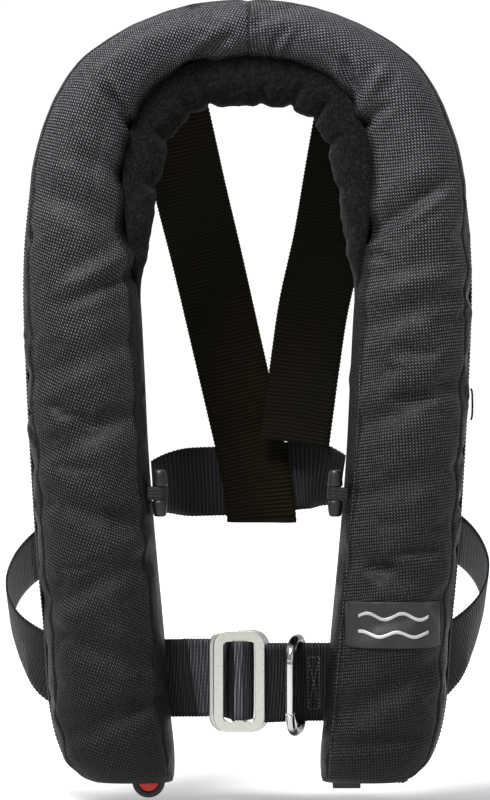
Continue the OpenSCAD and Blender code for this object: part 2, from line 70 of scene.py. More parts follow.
class Finish:
    """A material with one Principled shader, and short ways to wire procedural nodes into it."""

    def __init__(self, name, color, rough, **sockets):
        self.mat = bpy.data.materials.new(name)
        self.mat.use_nodes = True
        self.tree = self.mat.node_tree
        self.shader = self.tree.nodes["Principled BSDF"]
        self.color = color
        self.set("Base Color", color)
        self.set("Roughness", rough)
        for key, value in sockets.items():
            self.set(key.replace("_", " "), value)
        self.height = None

    def set(self, socket, value):
        self.shader.inputs[socket].default_value = value

    def node(self, kind, values=(), **settings):
        node = self.tree.nodes.new("ShaderNode" + kind)
        for key, value in settings.items():
            setattr(node, key, value)
        for k, value in enumerate(values):
            if isinstance(value, bpy.types.NodeSocket):
                self.tree.links.new(value, node.inputs[k])
            elif value is not None:
                node.inputs[k].default_value = value
        return node

    def math(self, operation, a, b=0.0, c=None):
        return self.node("Math", (a, b) if c is None else (a, b, c), operation=operation).outputs[0]

    def place(self, kind="Object"):
        return self.node("TexCoord").outputs[kind]

    def noise(self, scale, detail=3.0, where=None, stretch=None):
        """Noise from 0 to 1 over the object, with features of about 1 / scale metres."""
        where = where or self.place()
        if stretch:
            where = self.node("Mapping", (where,)).outputs[0]
            where.node.inputs["Scale"].default_value = stretch
        tex = self.node("TexNoise")
        self.tree.links.new(where, tex.inputs["Vector"])
        tex.inputs["Scale"].default_value = scale
        tex.inputs["Detail"].default_value = detail
        return tex.outputs[0]

    def ramp(self, value, low, high, to=(0.0, 1.0)):
        node = self.node("MapRange", (value, low, high, to[0], to[1]))
        return node.outputs[0]

    def tint(self, amount, dark, light):
        """Base colour that runs from dark to light with amount."""
        mix = self.node("Mix", data_type="RGBA")
        self.tree.links.new(amount, mix.inputs[0])
        mix.inputs[6].default_value = dark
        mix.inputs[7].default_value = light
        self.tree.links.new(mix.outputs[2], self.shader.inputs["Base Color"])
        return self

    def feed(self, value, socket):
        self.tree.links.new(value, self.shader.inputs[socket])
        return self

    def bump(self, value, strength, distance):
        node = self.node("Bump")
        node.inputs["Strength"].default_value = strength
        node.inputs["Distance"].default_value = distance
        self.tree.links.new(value, node.inputs["Height"])
        if self.height is not None:
            self.tree.links.new(self.height, node.inputs["Normal"])
        self.height = node.outputs[0]
        self.tree.links.new(self.height, self.shader.inputs["Normal"])
        return self

    def threads(self, pitch_u, pitch_v, turn=0.0, brick=0.0):
        """Height from 0 to 1 of crossing threads on a UV in millimetres. With brick each row of
        crowns is shifted by that share of the pitch."""
        xy = self.node("SeparateXYZ", (self.place("UV"),))
        u, v = xy.outputs[0], xy.outputs[1]
        c, s = math.cos(turn), math.sin(turn)
        line = []
        for a, b, pitch in ((c, s, pitch_u), (-s, c, pitch_v)):
            turned = self.math("MULTIPLY_ADD", u, a, self.math("MULTIPLY", v, b))
            line.append(self.math("DIVIDE", turned, pitch))
        line[1] = self.math("MULTIPLY_ADD", self.math("FLOOR", line[0]), brick, line[1])
        crowns = [
            self.math("MULTIPLY_ADD", self.math("COSINE", self.math("MULTIPLY", x, 2 * math.pi)), sign, 0.5)
            for x, sign in ((line[0], -0.5), (line[1], 0.5))
        ]
        return self.math("MULTIPLY", *crowns)


def fabric(name, dark, light, pitch, rough=0.5, sheen=0.0, grain=0.6, flat=0.04):
    """Coarse woven nylon: a basket of bright thread crowns on a dark ground, over slow variation, times the
    painted light and shade that each piece keeps in the attribute "open".
    """
    f = Finish(name, dark, rough, Sheen_Weight=sheen, Sheen_Roughness=0.45)
    f.set("Specular IOR Level", 0.16)
    crowns = f.threads(pitch, pitch * 1.9, math.radians(38), 0.5)
    # Painted light and shade: the attribute "open" darkens the colour where shade is painted.
    painted_light_and_shade = f.node("Attribute", attribute_name="open").outputs["Fac"]
    slow = f.noise(9.0, 2.0)
    fine = f.noise(900.0, 2.0)
    level = f.math("MULTIPLY", f.ramp(crowns, 0.2, 0.72), f.ramp(fine, 0.3, 0.7, (1 - grain, 1 + grain)))
    level = f.math("MULTIPLY_ADD", f.ramp(slow, 0.35, 0.65), flat, f.math("MULTIPLY", level, 1 - flat))
    level = f.math("MULTIPLY", level, painted_light_and_shade)
    f.tint(level, dark, light)
    f.feed(f.ramp(fine, 0.3, 0.7, (rough - 0.1, rough + 0.1)), "Roughness")
    f.bump(crowns, 0.9, 0.0005)
    return f


def ribbed(name, dark, light, rough=0.6, sheen=0.02, shine=0.25, shaded=False):
    """Webbing: fine yarns along a UV in millimetres. When shaded, the colour is multiplied by the painted light
    and shade in the attribute "open", which paints the rib crowns lighter than the valleys.
    """
    f = Finish(name, dark, rough, Sheen_Weight=sheen, Sheen_Roughness=0.4)
    f.set("Specular IOR Level", shine)
    yarn = f.threads(0.9, 1.4)
    slow = f.noise(14.0, 2.0)
    fine = f.noise(1500.0, 2.0)
    level = f.math("MULTIPLY", f.ramp(yarn, 0.0, 0.8), f.ramp(fine, 0.3, 0.7, (0.5, 1.3)))
    level = f.math("MULTIPLY_ADD", f.ramp(slow, 0.35, 0.65), 0.2, f.math("MULTIPLY", level, 0.8))
    # Painted light and shade, from the attribute "open".
    if shaded:
        level = f.math("MULTIPLY", level, f.node("Attribute", attribute_name="open").outputs["Fac"])
    f.tint(level, dark, light)
    f.feed(f.ramp(fine, 0.3, 0.7, (rough - 0.08, rough + 0.1)), "Roughness")
    f.bump(yarn, 0.35, 0.0003)
    return f


def plastic(name, color, rough, wear=0.12, speck=500.0, **sockets):
    """Moulded plastic, rubber or paint, with faint mottling, scuffs and an orange-peel bump."""
    f = Finish(name, color, rough, **sockets)
    light = tuple(min(1, c * (1 + wear) + wear * 0.05) for c in color[:3]) + (1,)
    f.tint(f.ramp(f.noise(60.0, 4.0), 0.35, 0.7), color, light)
    f.feed(f.ramp(f.noise(180.0, 3.0), 0.3, 0.7, (rough - 0.06, rough + 0.08)), "Roughness")
    f.bump(f.noise(speck, 2.0), 0.15, 0.0002)
    return f


def metal(name, color, rough, brush=(1.0, 1.0, 1.0), streak=0.06, shaded=False):
    """Steel with faint brushing and handling marks; shaded paints dark reflections on it, mixing towards near
    black by the attribute "open".
    """
    f = Finish(name, color, rough, Metallic=1.0)
    scuff = f.noise(220.0, 4.0, stretch=brush)
    shade = tuple(c * (1 - streak) for c in color[:3]) + (1,)
    level = f.ramp(scuff, 0.3, 0.7)
    # Painted dark reflection: where the attribute "open" is low, the colour goes to near black.
    if shaded:
        shade = srgb(6, 6, 6)
        level = f.math("MULTIPLY", f.ramp(scuff, 0.3, 0.7, (0.9, 1.0)),
                       f.node("Attribute", attribute_name="open").outputs["Fac"])
    f.tint(level, shade, color)
    f.feed(f.ramp(scuff, 0.3, 0.7, (rough * 0.8, rough * 1.25)), "Roughness")
    f.bump(scuff, 0.06, 0.0001)
    return f


def fleece_finish():
    f = Finish("fleece", srgb(9, 9, 9), 0.95, Sheen_Weight=0.04, Sheen_Roughness=0.6)
    f.set("Specular IOR Level", 0.08)
    tufts = f.noise(420.0, 3.0)
    f.tint(f.ramp(f.math("MULTIPLY", f.noise(900.0, 2.0), tufts), 0.22, 0.42), srgb(3, 3, 3), srgb(27, 29, 30))
    f.feed(f.ramp(tufts, 0.3, 0.7, (0.85, 1.0)), "Roughness")
    f.bump(tufts, 0.8, 0.0012)
    return f


def reflective_finish():
    f = Finish("reflective", srgb(200, 203, 205), 0.35, Metallic=0.6)
    beads = f.node("TexVoronoi")
    f.tree.links.new(f.place(), beads.inputs["Vector"])
    beads.inputs["Scale"].default_value = 900
    f.tint(f.ramp(beads.outputs[0], 0.2, 0.8), srgb(170, 174, 178), srgb(222, 224, 226))
    f.feed(f.ramp(beads.outputs[0], 0.2, 0.8, (0.25, 0.5)), "Roughness")
    f.bump(beads.outputs[0], 0.3, 0.0002)
    return f


FINISH = {
    "nylon": fabric("nylon", srgb(5, 5, 4), srgb(112, 112, 119), 1.5),
    "fleece": fleece_finish(),
    "webbing": ribbed("webbing", srgb(8, 9, 9), srgb(34, 38, 40)),
    "elastic": ribbed("elastic", srgb(8, 8, 8), srgb(40, 42, 44), 0.6),
    "steel": metal("steel", srgb(224, 224, 217), 0.32, (1.0, 1.0, 12.0), 0.12),
    "ring_steel": metal("ring_steel", srgb(225, 226, 226), 0.13, shaded=True),
    "black_plastic": plastic("black_plastic", srgb(22, 24, 26), 0.38),
    "zip_plastic": plastic("zip_plastic", srgb(16, 16, 17), 0.45),
    "zip_metal": metal("zip_metal", srgb(60, 62, 64), 0.35),
    "label_rubber": plastic("label_rubber", srgb(26, 26, 27), 0.5),
    "bladder_fabric": fabric("bladder_fabric", srgb(150, 110, 8), srgb(236, 190, 30), 0.8),
    "reflective": reflective_finish(),
    "inflator_plastic": plastic("inflator_plastic", srgb(28, 29, 30), 0.4),
    "cartridge_plastic": plastic("cartridge_plastic", srgb(214, 196, 40), 0.4),
    "gas_paint": plastic("gas_paint", srgb(172, 176, 176), 0.3, Metallic=0.5, Coat_Weight=0.3),
    "red_plastic": plastic("red_plastic", srgb(190, 28, 24), 0.4),
    "red_cord": ribbed("red_cord", srgb(120, 16, 12), srgb(205, 48, 38)),
    "handle_rubber": plastic("handle_rubber", srgb(20, 20, 20), 0.55),
    "whistle_plastic": plastic("whistle_plastic", srgb(224, 200, 40), 0.35),
    "silver": plastic("silver", srgb(176, 178, 180), 0.4, Metallic=0.3),
}

NODES, RECORD = frame["nodes"], frame["record"]
SLOT_OF = {p["node"]: p["material_slot"] for p in RECORD["subparts"]}

# ---- Curves, all in millimetres in the part's frame ----


def smooth(p, s, before):
    """Catmull-Rom value at position s along a list of points."""
    i = max(0, min(int(math.floor(s)), len(p) - 2))
    t = s - i
    a, b, c = (p[i - 1] if i > 0 else before), p[i], p[i + 1]
    d = p[min(i + 2, len(p) - 1)]
    a, b, c, d = (np.array(x, float) for x in (a, b, c, d))
    return 0.5 * (2 * b + (c - a) * t + (2 * a - 5 * b + 4 * c - d) * t**2 + (3 * b - a - 3 * c + d) * t**3)


def mirrored(p):
    return np.array([-p[0], p[1], -p[2], p[3], p[4], p[5]], float)


# Inner edge x, z, outer edge x, z, fleece width and fullness, from the collar to the lobe's bottom
COVER = [
    (0, 30, 0, 69, 30, 0.86), (33, 25, 50, 61, 29, 0.88), (57, 12, 88, 44, 27, 0.92),
    (72, -10, 117, 20, 25, 0.96), (80, -42, 138, -26, 23, 1), (78, -82, 146, -74, 14, 1),
    (72, -125, 148.5, -120, 3, 1), (69, -175, 147, -172, 0, 1), (66, -235, 144, -232, 0, 1),
    (61, -297, 140, -295, 0, 1), (56, -350, 135, -350, 0, 1), (52, -400, 131, -402, 0, 1),
    (49, -430, 123, -432, 0, 0.96), (49, -445, 112, -445, 0, 0.75), (50, -451, 104, -451, 0, 0.5),
]
LAST = len(COVER) - 1
ZIP_Y, FRONT_DEPTH, BACK_DEPTH = 8, 35, 13


def station(s):
    if s < 0:
        return mirrored(station(-s))
    return smooth(COVER, s, mirrored(COVER[1]))


def unit(v):
    v = np.array(v, float)
    return v / max(np.linalg.norm(v), 1e-9)


def half_width(p):
    return math.hypot(p[2] - p[0], p[3] - p[1]) / 2


def on_section(p, u, y):
    across = unit((p[2] - p[0], p[3] - p[1]))
    return np.array([(p[0] + p[2]) / 2 + across[0] * u, y, (p[1] + p[3]) / 2 + across[1] * u])


def rounded(v, n):
    return math.copysign(abs(v) ** (2 / n), v)


def section_point(s, a, side, depth, bulge, out=0.0):
    """a in degrees from the inner edge (0) to the outer edge (180); side -1 is the front."""
    p, a = station(s), math.radians(a)
    return on_section(
        p, -rounded(math.cos(a), bulge) * (half_width(p) + out),
        ZIP_Y + side * rounded(math.sin(a), bulge) * (depth * p[5] + out),
    )


# ---- Meshes ----


def make(name, points, faces, slot, body="jacket", nodes=(), uv=None, finish=None):
    """A mesh piece from points in millimetres. uv is one (u, v) in millimetres per point."""
    mesh = bpy.data.meshes.new(name)
    mesh.from_pydata([tuple(float(c) * MM for c in p) for p in points], [], [tuple(f) for f in faces])
    mesh.validate()
    for poly in mesh.polygons:
        poly.use_smooth = True
    if uv is not None:
        layer = mesh.uv_layers.new(name="UVMap")
        for loop in mesh.loops:
            layer.data[loop.index].uv = uv[loop.vertex_index]
    obj = bpy.data.objects.new(name, mesh)
    bpy.context.scene.collection.objects.link(obj)
    return dress(obj, slot, body, nodes, finish)


def dress(obj, slot, body="jacket", nodes=(), finish=None):
    """Gives a piece its finish, attaches it to the body that carries it, and hides the CAD nodes it stands for.
    """
    obj.data.materials.clear()
    obj.data.materials.append((finish or FINISH[slot]).mat)
    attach(obj, body)
    if nodes:
        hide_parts(*nodes)
    return obj


def strip_faces(n, m, closed=True, caps=True, start=0):
    """Faces of n rings of m points each."""
    faces = []
    for i in range(n - 1):
        for j in range(m if closed else m - 1):
            a, b = start + i * m + j, start + i * m + (j + 1) % m
            faces.append((a, b, b + m, a + m))
    if closed and caps:
        faces.append(tuple(start + j for j in reversed(range(m))))
        faces.append(tuple(start + (n - 1) * m + j for j in range(m)))
    return faces


def resample(points, step):
    """A smooth list of stations, evenly spaced, and the distance along it of each."""
    p = [np.array(q, float) for q in points]
    raw = [smooth(p, k / 12, p[0]) for k in range((len(p) - 1) * 12 + 1)]
    walk = np.concatenate([[0], np.cumsum([np.linalg.norm(b[:3] - a[:3]) for a, b in zip(raw, raw[1:])])])
    n = max(2, int(round(walk[-1] / step)))
    at = np.linspace(0, walk[-1], n + 1)
    raw = np.array(raw)
    return np.stack([np.interp(at, walk, raw[:, k]) for k in range(raw.shape[1])], 1), at


def frames(track):
    """Centre, direction along, width direction and thickness direction at each station."""
    c = track[:, :3]
    along = np.gradient(c, axis=0)
    along /= np.linalg.norm(along, axis=1)[:, None]
    lean = track[:, 3:6]
    wide = lean - along * (lean * along).sum(1)[:, None]
    wide /= np.linalg.norm(wide, axis=1)[:, None]
    return c, along, wide, np.cross(along, wide)


RIB = 2.8


def shade_points(obj, values):
    """Painted light and shade at each point of a piece, kept in the attribute "open": how far the point shows
    its finish's light colour, 0 for none.
    """
    data = obj.data.attributes.new("open", "FLOAT", "POINT").data
    data.foreach_set("value", np.array(values, np.float32))


def webbing(name, points, nodes=(), w=50, t=1.8, slot="webbing", body="jacket", rib=RIB, step=0.4,
            finish=None, slant=0.0, wander=0.5, lit=None):
    """A woven band with ribs across it and scalloped edges, along stations of centre and width.
    lit gives the painted light at a point, and the rib crowns are painted lighter than the valleys beside them;
    both go into the attribute "open"."""
    track, at = resample(points, step)
    c, along, wide, thick = frames(track)
    across = np.linspace(-1, 1, 13)
    pts, uv, shade = [], [], []
    phase = rng.uniform(0, 6)
    for k in range(len(at)):
        for side in (1, -1):
            for x in across if side > 0 else across[::-1]:
                d = at[k] + slant * x * w / 2 + wander * math.sin(x * 2.1 + at[k] / 23 + phase)
                crown = 0.5 + 0.5 * math.cos(2 * math.pi * d / rib)
                edge = w / 2 - 0.45 * (1 - crown)
                plump = (1 - abs(x) ** 8 * 0.45) * (0.62 + 0.38 * crown)
                pts.append(c[k] + wide[k] * x * edge + thick[k] * side * plump * t / 2)
                # Painted light and shade: lit at this point, with a painted highlight on the rib crowns and
                # painted shade in the valleys.
                shade.append((lit(pts[-1]) if lit else 1) * (0.2 + crown ** 2))
                uv.append((x * w / 2 + (0 if side > 0 else 7.3), at[k]))
    obj = make(name, pts, strip_faces(len(at), 26), slot, body, nodes, uv, finish)
    shade_points(obj, shade)
    return obj


def sweep(name, points, radius, slot, body="jacket", nodes=(), sides=12, step=1.0, finish=None, twist=0.0):
    """A round cord or wire; radius is a number or a function of the distance along it."""
    track, at = resample(points, step)
    c = track[:, :3]
    along = np.gradient(c, axis=0)
    along /= np.linalg.norm(along, axis=1)[:, None]
    side = unit(np.cross(along[0], (0.3, 1, 0.2)))
    pts, uv = [], []
    for k in range(len(at)):
        side = unit(side - along[k] * side.dot(along[k]))
        other = np.cross(along[k], side)
        r = radius(at[k]) if callable(radius) else radius
        for j in range(sides):
            a = 2 * math.pi * j / sides
            bulge = 1 + (0.12 * math.cos(3 * a + at[k] * twist) if twist else 0)
            pts.append(c[k] + (side * math.cos(a) + other * math.sin(a)) * r * bulge)
            uv.append((r * a, at[k]))
    return make(name, pts, strip_faces(len(at), sides), slot, body, nodes, uv, finish)


def cut_plate(name, outlines, y, t, bevel, slot, body="jacket", nodes=(), finish=None):
    """Flat plate in XZ from closed outlines, the first its rim and the others holes, with round edges."""
    data = bpy.data.curves.new(name, "CURVE")
    data.dimensions = "2D"
    data.fill_mode = "BOTH"
    data.extrude = (t / 2 - bevel) * MM
    data.bevel_depth = bevel * MM
    data.offset = -bevel * MM
    data.bevel_resolution = 4
    for outline in outlines:
        spline = data.splines.new("POLY")
        spline.points.add(len(outline) - 1)
        for p, q in zip(spline.points, outline):
            p.co = (q[0] * MM, q[1] * MM, 0, 1)
        spline.use_cyclic_u = True
    curve = bpy.data.objects.new(name + "_curve", data)
    bpy.context.scene.collection.objects.link(curve)
    bpy.context.view_layer.update()
    mesh = bpy.data.meshes.new_from_object(curve.evaluated_get(bpy.context.evaluated_depsgraph_get()))
    bpy.data.objects.remove(curve)
    for v in mesh.vertices:
        v.co = Vector((v.co.x, (y + t / 2) * MM - v.co.z, v.co.y))
    mesh.flip_normals()
    obj = bpy.data.objects.new(name, mesh)
    bpy.context.scene.collection.objects.link(obj)
    for poly in mesh.polygons:
        poly.use_smooth = True
    mesh.set_sharp_from_angle(angle=math.radians(40))
    return dress(obj, slot, body, nodes, finish)


def round_rect(x, z, w, h, r, n=10):
    """Outline of a rounded rectangle about (x, z)."""
    return [
        (x + sx * (w / 2 - r) + r * math.cos(a), z + sz * (h / 2 - r) + r * math.sin(a))
        for sx, sz, a0 in ((1, 1, 0), (-1, 1, 90), (-1, -1, 180), (1, -1, 270))
        for a in (math.radians(a0 + 90 * k / n) for k in range(n + 1))
    ]


def beads(name, spots, length, radius, slot, body="jacket", finish=None, flat=0.6):
    """Stitches: short rounded threads, each (centre, direction along, direction out)."""
    pts, faces = [], []
    for centre, along, out in spots:
        along, out = unit(along), unit(out)
        side = np.cross(along, out)
        start = len(pts)
        for k, grow in ((-1, 0.35), (-0.7, 0.85), (0, 1), (0.7, 0.85), (1, 0.35)):
            for j in range(6):
                a = 2 * math.pi * j / 6
                pts.append(
                    np.array(centre) + along * k * length / 2
                    + (side * math.cos(a) + out * math.sin(a) * flat) * radius * grow
                )
        faces += strip_faces(5, 6, start=start)
    return make(name, pts, faces, slot, body, finish=finish)

# ---- Cover ----


def spread(low, high, step):
    """Positions along the horseshoe about step millimetres apart along the lobe's middle."""
    fine = np.linspace(low, high, 600)
    mid = np.array([[(p[0] + p[2]) / 2, (p[1] + p[3]) / 2] for p in (station(s) for s in fine)])
    walk = np.concatenate([[0], np.cumsum(np.linalg.norm(np.diff(mid, axis=0), axis=1))])
    return np.interp(np.linspace(0, walk[-1], int(walk[-1] / step)), walk, fine)


def shell_grid(rows, angles, side, depth, bulge):
    return np.array([[section_point(s, a, side, depth, bulge) for a in angles] for s in rows])


def cloth_uv(grid, rows, side):
    """Flat cloth coordinates in millimetres: the panel as seen, its side walls folded out."""
    uv, m = [], grid.shape[1]
    depth = FRONT_DEPTH if side < 0 else BACK_DEPTH
    for line, s in zip(grid, rows):
        p = station(s)
        across = unit((p[2] - p[0], p[3] - p[1]))
        for j, q in enumerate(line):
            fold = (depth * p[5] - abs(q[1] - ZIP_Y)) * (1 if j > m / 2 else -1)
            x, z = q[0] + across[0] * fold, q[2] + across[1] * fold
            turn = -0.2 if s > 0 else 0.2
            uv.append((x * math.cos(turn) - z * math.sin(turn), x * math.sin(turn) + z * math.cos(turn)))
    return uv


def relax(points, faces, pinned, out_of, pressure, growth, frames_run=18, cap=4.0):
    """Cloth pinned at its seams and cut a little large, so that it fills out and wrinkles. It
    hardly sinks against out_of, the directions out of the cover."""
    mesh = bpy.data.meshes.new("cloth")
    mesh.from_pydata([tuple(p * MM * 10) for p in points], [], faces)
    obj = bpy.data.objects.new("cloth", mesh)
    scene = bpy.context.scene
    scene.collection.objects.link(obj)
    group = obj.vertex_groups.new(name="seams")
    group.add([k for k in range(len(points)) if pinned[k]], 1.0, "REPLACE")
    cloth = obj.modifiers.new("cloth", "CLOTH")
    s = cloth.settings
    s.vertex_group_mass = "seams"
    s.quality = 6
    s.mass = 0.25
    s.tension_stiffness = 18
    s.compression_stiffness = 18
    s.shear_stiffness = 6
    s.bending_stiffness = 1.2
    s.shrink_min = -growth
    s.use_pressure = True
    s.uniform_pressure_force = pressure
    s.effector_weights.gravity = 0
    cloth.collision_settings.use_collision = False
    for f in range(1, frames_run + 1):
        scene.frame_set(f)
    bpy.context.view_layer.update()
    done = obj.evaluated_get(bpy.context.evaluated_depsgraph_get())
    out = np.array([v.co for v in done.data.vertices], float) / (MM * 10)
    bpy.data.objects.remove(obj)
    scene.frame_set(1)
    move = out - points
    size = np.linalg.norm(move, axis=1)[:, None]
    move = move * np.minimum(1, cap / np.maximum(size, 1e-6)) * np.isfinite(size)
    inward = np.minimum(0, (move * out_of).sum(1) + 0.8)
    return points + move - out_of * inward[:, None]


# Folds of the front panels: from x, z to x, z, depth and half width, all in millimetres
FOLDS = [
    (-91, 5, -74, -18, 3.0, 3.2), (-43, 21, -11, 43, 2.2, 3.4), (-11, 43, 1, 30, 1.8, 2.6),
    (-110, -36, -77, -50, 1.6, 6.5), (-128, -62, -78, -84, 2.4, 9.0), (-115, -124, -73, -96, -1.8, 6.0),
    (-120, -132, -72, -112, 1.6, 5.0), (-140, -180, -76, -158, 1.8, 8.0), (-136, -232, -72, -205, 2.2, 8.0),
    (-128, -262, -66, -282, 1.8, 7.0), (-132, -330, -62, -300, 2.2, 8.0), (-120, -352, -58, -372, 1.6, 7.0),
    (-124, -420, -54, -392, 2.2, 8.0), (8, 62, 7, 34, 1.4, 2.0), (21, 33, 30, 46, -1.2, 2.2),
    (15, 31, 19, 42, 1.0, 1.8), (64, 25, 70, 8, 2.8, 3.4), (71, -9, 88, 17, -1.8, 4.0),
    (76, -15, 91, -4, 1.8, 3.4), (78, -88, 126, -58, 3.0, 8.0), (79, -96, 131, -62, -1.6, 4.0),
    (79, -100, 92, -104, 1.6, 3.5), (74, -128, 140, -112, -1.4, 6.0), (74, -150, 138, -128, 1.8, 7.0),
    (72, -215, 136, -186, 1.8, 8.0), (70, -262, 132, -240, 1.6, 8.0), (64, -300, 126, -322, 1.8, 8.0),
    (60, -350, 126, -330, 1.6, 7.0), (58, -405, 122, -372, 2.2, 8.0), (54, -425, 110, -418, 1.4, 5.0),
]


def fold_depth(x, z):
    total = 0.0
    for x0, z0, x1, z1, deep, wide in FOLDS:
        a, d = np.array((x0, z0), float), np.array((x1 - x0, z1 - z0), float)
        length = np.linalg.norm(d)
        d /= length
        rel = np.array((x, z)) - a
        t, off = rel.dot(d) / length, abs(rel[0] * d[1] - rel[1] * d[0])
        if off > 4 * wide or not -0.35 < t < 1.35:
            continue
        ends = min(1, max(0, (t + 0.3) / 0.4)) * min(1, max(0, (1.3 - t) / 0.4))
        valley = math.exp(-((off / wide) ** 2)) - 0.4 * math.exp(-(((off - 1.9 * wide) / wide) ** 2))
        total += deep * ends * valley
    return 1.35 * total


def grid_normals(grid):
    along, across = np.gradient(grid, axis=0), np.gradient(grid, axis=1)
    n = np.cross(across, along)
    return n / np.maximum(np.linalg.norm(n, axis=2)[:, :, None], 1e-9)


def refine(grid, rows, columns):
    """The same sheet with more points, by smooth interpolation both ways."""
    def along(g, n):
        p = list(g)
        before = 2 * np.array(p[0]) - np.array(p[1])
        return np.array([smooth(p, k * (len(p) - 1) / (n - 1), before) for k in range(n)])
    return along(along(grid, rows).transpose(1, 0, 2), columns).transpose(1, 0, 2)


def panel(name, node, rows, side, depth, bulge, n_across, growth, folds, fine):
    """One padded nylon panel of the cover, with its wall and its turned-in edges."""
    angles = [180 * k / (n_across - 1) for k in range(n_across)]
    grid = shell_grid(rows, angles, side, depth, bulge)
    n, m = len(rows), n_across
    flat = grid.reshape(-1, 3)
    faces = strip_faces(n, m, closed=False)
    normal = grid_normals(grid)
    if normal[n // 2, m // 2, 1] * side < 0:
        faces = [tuple(reversed(f)) for f in faces]
    pinned = [k % m in (0, m - 1) or k < m or k >= (n - 1) * m for k in range(n * m)]
    seed = np.array([[smooth_noise(p, 22) for p in row] for row in grid])
    flat = (grid + normal * seed[:, :, None] * 0.8 * edge_mask(n, m)[:, :, None]).reshape(-1, 3)
    outward = normal * (1 if normal[n // 2, m // 2, 1] * side > 0 else -1)
    flat = relax(flat, faces, pinned, outward.reshape(-1, 3), 1.2, growth)
    rest = refine(grid, n * fine, m * fine)
    grid = refine(flat.reshape(n, m, 3), n * fine, m * fine)
    n, m = n * fine, m * fine
    out = grid_normals(grid)
    out *= 1 if out[n // 2, m // 2, 1] * side > 0 else -1
    mask = edge_mask(n, m)
    for i in range(n):
        for j in range(m):
            p = grid[i, j]
            push = 0.35 * smooth_noise(p, 9) * mask[i, j]
            if folds:
                push -= fold_depth(p[0], p[2]) * mask[i, j]
                inset = min(j, m - 1 - j) / (m - 1)
                push -= 1.0 * math.exp(-(((inset - 0.19) / 0.012) ** 2)) * (abs(p[2] + 200) < 245)
            grid[i, j] = p + out[i, j] * push
    points = grid.reshape(-1, 3)
    faces = strip_faces(n, m, closed=False)
    centre = grid[n // 2, m // 2]
    if np.cross(grid[n // 2, m // 2 + 1] - centre, grid[n // 2 + 1, m // 2] - centre)[1] * side < 0:
        faces = [tuple(reversed(f)) for f in faces]
    uv = cloth_uv(rest, np.interp(np.linspace(0, 1, n), np.linspace(0, 1, len(rows)), rows), side)
    obj = make(name, points, faces, "nylon", "jacket", [node], uv)
    # Painted shade: the side walls are painted dark, and the cover is painted darker towards its bottom and
    # lighter at its top, where the lamp falls most.
    inset = np.minimum(np.arange(m), np.arange(m)[::-1]) / (m - 1)
    wall_shade = np.tile(0.15 + 0.85 * np.clip((inset - 0.17) / 0.05, 0, 1), n)
    shade = wall_shade * (0.2 + 0.8 * np.clip((points[:, 2] + 400) / 460, 0, 1) ** 1.3)
    shade_points(obj, shade)
    wall = obj.modifiers.new("wall", "SOLIDIFY")
    wall.thickness = 1.5 * MM
    wall.offset = -1
    bpy.context.view_layer.update()
    obj.data = bpy.data.meshes.new_from_object(obj.evaluated_get(bpy.context.evaluated_depsgraph_get()))
    obj.modifiers.clear()
    return obj


def edge_mask(n, m):
    """1 inside a panel, falling to 0 at its seams."""
    a = np.minimum(1, np.minimum(np.arange(n), np.arange(n)[::-1]) / (0.04 * n))
    b = np.minimum(1, np.minimum(np.arange(m), np.arange(m)[::-1]) / (0.12 * m))
    return a[:, None] * b[None, :]


def smooth_noise(p, size):
    """Smooth noise from -1 to 1 with features of about size millimetres."""
    return turbulence(Vector((p[0] / size, p[1] / size, p[2] / size)))


STEP = 5.0
half = spread(0, LAST, STEP)
SEAM_X = 3.6
front_right = panel(
    "cover_front_right", "front_cover_right", half, side=-1, depth=FRONT_DEPTH, bulge=2.8, n_across=29,
    growth=0.016, folds=True, fine=3)
front_left = panel(
    "cover_front_left", "front_cover_left", -half[::-1], side=-1, depth=FRONT_DEPTH, bulge=2.8,
    n_across=29, growth=0.016, folds=True, fine=3)
panel(
    "cover_back", "back_cover", spread(-LAST, LAST, 6.5), side=1, depth=BACK_DEPTH, bulge=4,
    n_across=23, growth=0.015, folds=False, fine=2)

bpy.context.view_layer.update()
graph = bpy.context.evaluated_depsgraph_get()
FRONTS = [BVHTree.FromObject(o, graph) for o in (front_right, front_left)]


def on_front(x, z, lift=0.0, default=-20.0):
    """Point of the front panels' surface seen from the front at x, z, lifted towards the viewer."""
    best = None
    for tree in FRONTS:
        hit = tree.ray_cast(Vector((x * MM, -0.2, z * MM)), Vector((0, 1, 0)), 0.4)[0]
        if hit is not None and (best is None or hit.y / MM < best):
            best = hit.y / MM
    return np.array([x, (default if best is None else best) - lift, z])


# ---- Fleece collar ----

PUCKERS = [(-5.3, 0.3), (-4.2, 0.6), (-3.05, 0.7), (-1.9, 0.5), (-1.15, 0.7), (0.45, 0.3),
           (1.35, 0.7), (2.25, 0.85), (3.2, 0.6), (4.3, 0.5), (5.2, 0.4)]
rows = spread(-6.1, 6.1, 1.5)
ARC = 30
pts, uv = [], []
for i, s in enumerate(rows):
    p = station(s)
    push = max(p[4], 0.8) * min(1, (6.1 - abs(s)) / 0.7 + 0.05)
    dent = 0.65 * sum(deep * math.exp(-(((s - at) / 0.15) ** 2)) for at, deep in PUCKERS)
    for j in range(ARC + 1):
        a = math.pi * j / ARC
        swell = rounded(max(0.0, math.sin(a)), 2.6)
        reach = push * swell * (1 - 0.28 * dent * min(1, push / 10))
        base = on_section(p, -half_width(p) + 2.5 - reach - 2.5 * swell,
                          5 - 15 * math.cos(a) * min(1, 0.35 + p[4] / 20))
        tuft = 0.9 * smooth_noise(base, 7) + 0.35 * smooth_noise(base, 1.6)
        front = math.exp(-(((a - 0.9) / 0.5) ** 2))
        base += np.array([0, dent * 4.0 * front * min(1, push / 10), 0]) + np.array([0, -tuft, 0]) * front * 0.8
        base += unit(on_section(p, -1, 0) - on_section(p, 0, 0)) * tuft * swell * min(1, push / 6)
        pts.append(base)
        uv.append((i * 1.5, j * 2.0))
collar = make("fleece_roll", pts, strip_faces(len(rows), ARC + 1), "fleece", "jacket", ["fleece_collar"], uv)

# ---- Webbing ----

